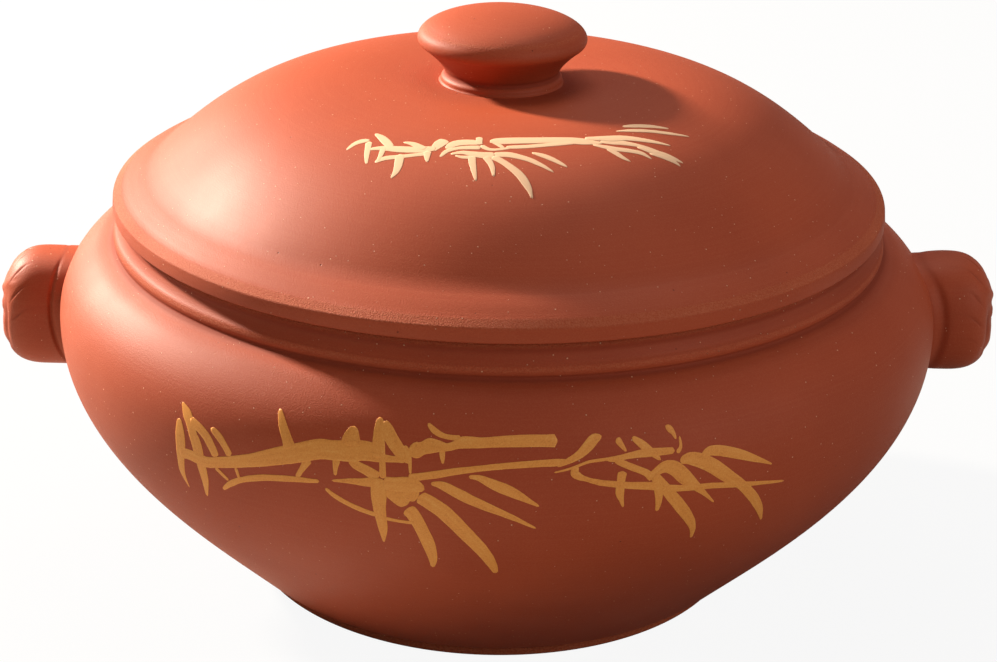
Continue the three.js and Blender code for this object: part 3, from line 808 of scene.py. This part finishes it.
lidBamboo = [
    # left tuft and stalk
    [(-39.8, -53.4, 0.6), (-37.8, -51.2, 1.5), (-35.7, -50.3, 1.9), (-33.8, -50.4, 1)],
    [(-34, -51, 1.8), (-34.2, -55.6, 1.5), (-34.2, -58.5, 1.2), (-34.1, -60.8, 0.5)],
    [(-32.6, -47.2, 0.8), (-31, -49.4, 2), (-29.6, -52, 2.4), (-28, -55, 2)],
    [(-33.6, -54.6, 1), (-30, -55, 2), (-26.1, -56.2, 2.8), (-22.4, -57, 2.8), (-19.5, -57.2, 2.8), (-16.4, -57, 2)],
    [(-32, -60.6, 1), (-29.5, -59.6, 1.7), (-26.6, -59.6, 1.7), (-22.3, -59.5, 1.5), (-18.4, -59.2, 1.6)],
    [(-30.1, -55, 1.6), (-30.7, -58.4, 1.3), (-31.4, -60.6, 0.8)],
    [(-25.6, -58.6, 2.4), (-25.8, -62.2, 2.3), (-26.3, -65.2, 1.7), (-27.5, -67.5, 0.5)],
    [(-25, -53, 0.6), (-22.6, -54.1, 1.7), (-20.7, -55.8, 2), (-19, -57, 1.6)],
    [(-18.6, -58, 2.2), (-18.6, -60.6, 1.5), (-18.5, -62.9, 0.5)],
    # the knot in the middle and its hanging leaves
    [(-17.4, -58.2, 1.4), (-15.6, -54.8, 3.4), (-14, -52.8, 3)],
    [(-13.8, -57.4, 1.4), (-12.4, -55.6, 2.6), (-10.8, -54.6, 3), (-8.2, -54.3, 2.8), (-5.2, -54.6, 2.4)],
    [(-5.4, -55.6, 1.8), (-5.4, -51.4, 1.8)],
    [(-15.3, -61, 0.6), (-13.6, -58.5, 1.5), (-11, -57.3, 1.4), (-8.1, -57, 1.8), (-4.8, -57, 2)],
    [(-12.6, -59.9, 0.8), (-9.6, -59.3, 1.6), (-7, -60, 2.2), (-4.4, -60.6, 2.8), (-1.2, -60.6, 2.6)],
    [(-11.4, -60.6, 0.6), (-9.6, -61.4, 1.2), (-7, -61.6, 1.6)],
    [(-7.2, -61, 2.2), (-7, -63.4, 1.9), (-6.6, -66.4, 1.5), (-5.9, -70.8, 0.5)],
    [(-3.8, -61.2, 1.8), (-2.6, -63.4, 1.7), (-1.9, -65.6, 1.4), (-1.4, -69.2, 0.6)],
    [(-1.8, -61.2, 2.2), (1.4, -64, 2), (4.6, -67.6, 2.3), (6.9, -71.5, 2), (8.4, -75.8, 0.5)],
    [(-5, -56, 1.6), (-2.6, -57.9, 1.3), (0.2, -57.7, 1), (2.8, -56.8, 1.2)],
    [(-2.4, -53.2, 1.6), (-0.6, -55.2, 1.4), (1, -57.4, 1)],
    # right stalk in two strands, its leaves and the spray at its end
    [(-2.6, -54.2, 1.4), (-1.2, -53.6, 2.8), (1.2, -53.4, 3.5), (7.8, -52.6, 3.3), (14.3, -51.7, 3.2),
     (19.1, -51.3, 3.6), (22.6, -51.2, 3), (26.6, -51, 0.8)],
    [(1.6, -56.6, 1), (3.5, -56.5, 1.7), (7.7, -55.8, 1.7), (14.2, -53.9, 1.7), (19, -52.4, 1.6)],
    [(-1.6, -60.4, 2.2), (1.9, -60.2, 2.4), (5.2, -61.1, 2.1), (7.8, -62.2, 1.8), (10.6, -64, 1.4),
     (13.8, -66.4, 0.4)],
    [(8.2, -58.8, 0.7), (10.9, -59.8, 1.8), (13.4, -61.2, 1.7), (16, -62.9, 1.1), (17.2, -63.9, 0.4)],
    [(32.2, -40, 1.2), (35.9, -38.6, 2), (40.2, -37.6, 1.7), (44.6, -37.2, 0.6)],
    [(30.4, -43.4, 0.5), (34.8, -41.8, 1.6), (39.4, -40.7, 1.6), (44.7, -40, 1.4), (50, -39.2, 0.4)],
    [(22, -49.6, 1.6), (26, -48.6, 2.2), (29, -48, 3), (32.6, -46.8, 2.6), (38.8, -46.3, 1.8), (44.6, -46.4, 0.5)],
    [(26, -50.4, 1.6), (29, -49.8, 2.6), (32.4, -49.5, 2.2), (36.2, -49.7, 1.6), (40, -50.3, 1), (42.6, -51.2, 0.4)],
    [(24, -52.4, 1), (27.5, -52.9, 1.8), (30.4, -53.1, 2), (34, -52.9, 1.7), (36.8, -53.1, 1.6), (39.3, -54.7, 0.4)],
    [(27.6, -53.4, 1.2), (29.9, -55, 1.8), (31.6, -56.5, 1.4), (33.7, -57.7, 0.4)],
    [(35.6, -50.4, 1), (39.2, -51.4, 1.7), (42, -51.5, 2.2), (44.4, -51.9, 1.8), (47.6, -52.9, 0.4)],
    [(38.8, -52.4, 0.8), (42.8, -52.7, 1.7), (45.2, -53.4, 1.4), (46.8, -54.6, 0.3)],
]


def brushLine(points, steps):  # a smooth line through given points, in Catmull-Rom pieces
    p = np.array(points, float)
    p = np.vstack([2 * p[0] - p[1], p, 2 * p[-1] - p[-2]])
    place = np.linspace(0, len(points) - 1, steps)
    i = np.minimum(place.astype(int), len(points) - 2)
    f = (place - i)[:, None]
    a, b, c, d = p[i], p[i + 1], p[i + 2], p[i + 3]
    return b + 0.5 * f * (c - a + f * (2 * a - 5 * b + 4 * c - d + f * (3 * (b - c) + d - a)))


def onBelly(place, lift):  # a point on the belly's skin, raised along its normal
    line = bellyLine()
    fall = directions(line)
    angle, height = place[..., 0] / bowl.bellyRadius, place[..., 1]
    at = partial(np.interp, height, line[:, 1])
    radius = at(line[:, 0]) * roundness
    radius = radius + bellyShift(angle, radius, height)[0] + lift * at(fall[:, 1])
    raised = height - lift * at(fall[:, 0])
    return np.stack([radius * np.sin(angle), -radius * np.cos(angle), raised], axis=-1)


def onLid(place, lift):  # a point on the dome, raised along its normal
    line = domeLine()[::-1]
    rise = directions(line)
    radius = np.linalg.norm(place, axis=-1)
    at = partial(np.interp, radius / roundness, line[:, 0])
    height = at(line[:, 1]) + lift * at(rise[:, 0])
    grow = 1 - lift * at(rise[:, 1]) / radius
    return np.stack([place[..., 0] * grow, place[..., 1] * grow, height], axis=-1)


# Brushed strokes: a flat closed section, in shares of the half width and the thickness, carried along each line
strokeSection = np.array([(-1, -0.6), (-0.97, 0.8), (-0.85, 1), (0, 1), (0.85, 1), (0.97, 0.8), (1, -0.6), (0, -0.8)])


def bamboo(name, strokes, onSkin, fade):  # fade says how pale the slip fired
    strips, count = [], 0
    side, rings = strokeSection[:, 0], len(strokeSection)
    around = np.arange(rings)
    after = (around + 1) % rings
    for index, stroke in enumerate(strokes):
        length = lengths(np.array(stroke, float)[:, :2])[-1]
        steps = max(brush.leastStations, int(length / brush.station))
        line, width = np.split(brushLine(stroke, steps), [2], axis=1)
        walk = lengths(line)
        half = np.maximum(width[:, 0] / 2, brush.leastHalf)
        toEnd = np.minimum(walk, walk[-1] - walk) / np.minimum(half, brush.tipRounding)  # rounded tips
        half = half * np.sqrt(np.clip(1 - (1 - np.minimum(toEnd, 1)) ** 2, brush.tipShare, 1))
        run = brush.trembleRun  # the edges tremble by a running mean of chance
        tremble = chance.normal(0, 1, (2, steps + run - 1))
        tremble = sum(tremble[:, k:k + steps] for k in range(run)) / run * brush.edgeTremble
        shake = np.where(side < 0, tremble[0][:, None], tremble[1][:, None]) * np.abs(side)
        offset = half[:, None] * side + shake * np.minimum(1, half / brush.trembleHalf)[:, None]
        thickness = brush.thickness + brush.thicknessStep * (index % brush.layers)
        lift = thickness * strokeSection[:, 1] * np.minimum(1, half / brush.flatHalf)[:, None]
        place = line[:, None, :] + offset[..., None] * beside(line)[:, None, :]
        grid = onSkin(place, lift).reshape(-1, 3)
        ends = onSkin(line[[0, -1]], np.zeros(2))
        back, tip = (steps - 1) * rings, 0 * around + steps * rings
        head = np.stack([after, around, tip, tip], axis=1)
        tail = np.stack([around + back, after + back, tip + 1, tip + 1], axis=1)
        strips.append((
            np.vstack([grid, ends]), np.vstack([ringQuads(steps, rings, False), head, tail]) + count,
            np.concatenate([np.repeat(walk, rings), [0, walk[-1]]]) * mm,
            np.concatenate([(side * half[:, None]).ravel(), [0, 0]]) * mm,
            np.full(len(grid) + 2, brush.toneStep * index)))
        count += len(grid) + 2
    points, quads, along, across, tone = map(np.concatenate, zip(*strips))
    return buildMesh(name, points, quads, along=along, across=across, stroke=tone, fade=np.full(count, fade))


dress(bamboo("bamboo_on_belly", bellyBamboo, onBelly, brush.bellyFade), "pot", "ochre_slip")
dress(bamboo("bamboo_on_lid", lidBamboo, onLid, brush.lidFade), "lid", "ochre_slip")


# Stage: a white paper floor, soft lamps and a pale world, in metres and watts
stage = Values(
    floor="#B2B0AC", floorSize=6.0, floorDrop=0.00005, floorRoughness=0.9, white=0.92,
    world="#FFFFFF", ambient=0.2, aim=(0, 0, 0.08),
)
lamps = [
    Values(name="key", at=(-1.15, 0.76, 0.79), size=0.13, power=74, tint="#FFF5E4"),
    Values(name="fill", at=(1.45, -1.0, 0.95), size=1.4, power=9.3, tint="#FFF4EE"),
    Values(name="top", at=(0.0, 0.5, 1.3), size=0.9, power=5, tint="#FFF6EA"),
]


# Matte white backdrop paper, washed out to white as a camera sees it, with a trace of the pot's shadow left
def paleFloor():
    half, low = stage.floorSize / 2, -stage.floorDrop
    corners = [(-half, -half, low), (half, -half, low), (half, half, low), (-half, half, low)]
    mesh = bpy.data.meshes.new("pale_floor")
    mesh.from_pydata(corners, [], [(0, 1, 2, 3)])
    floor = putInScene("pale_floor", mesh)
    material = bpy.data.materials.new("matte_white_backdrop_paper")
    add = newTree(material)
    paper = add("BsdfPrincipled", {"Base Color": colour(stage.floor), "Roughness": stage.floorRoughness})
    white = add("Emission", {"Color": colour(stage.world), "Strength": 1.0})
    share = add("Math", add("LightPath"), stage.white, operation="MULTIPLY")  # only for the camera's rays
    shader = add("MixShader", share, paper, white)
    add("OutputMaterial", shader)
    mesh.materials.append(material)


def softLamps():
    for lamp in lamps:
        data = bpy.data.lights.new(lamp.name, "AREA")
        data.size = lamp.size
        data.energy = lamp.power
        data.color = colour(lamp.tint)[:3]
        holder = putInScene(lamp.name, data)
        holder.location = lamp.at
        x, y, z = np.subtract(stage.aim, lamp.at)
        holder.rotation_euler = (math.atan2(math.hypot(x, y), -z), 0, math.atan2(y, x) - math.pi / 2)


def paleWorld():
    world = bpy.data.worlds.new("pale_studio")
    add = newTree(world)
    level = add("MapRange", add("LightPath"), 0, 1, stage.ambient, 1)  # white to the camera's rays
    light = add("Background", {"Color": colour(stage.world), "Strength": level})
    add("OutputWorld", light)
    bpy.context.scene.world = world


paleFloor()
softLamps()
paleWorld()
print("stage set")


# Camera at the photograph's angle, fitted to the rim and belly lines in its 997 x 662 frame
camera = Values(lens=85.36, sensor=36, elevation=22.67, roll=1.2, distance=689.3, target=(0.6, 0, 67), nearest=10)


def photoCamera():
    tilt, roll = math.radians(camera.elevation), math.radians(camera.roll)
    back = np.array([0, -math.cos(tilt), math.sin(tilt)])
    right = np.array([1.0, 0, 0])
    up = np.cross(back, right)
    turnedRight = right * math.cos(roll) + up * math.sin(roll)
    turnedUp = up * math.cos(roll) - right * math.sin(roll)
    eye = (np.array(camera.target) + back * camera.distance) * mm
    data = bpy.data.cameras.new("photo_camera")
    data.lens = camera.lens
    data.sensor_width = camera.sensor
    data.clip_start = camera.nearest * mm
    pose = np.eye(4)
    pose[:3] = np.stack([turnedRight, turnedUp, back, eye], axis=1)
    holder = putInScene("photo_camera", data)
    holder.matrix_world = Matrix(pose.tolist())
    bpy.context.scene.camera = holder


photoCamera()
bpy.context.scene.view_settings.view_transform = "Standard"
print("camera set")
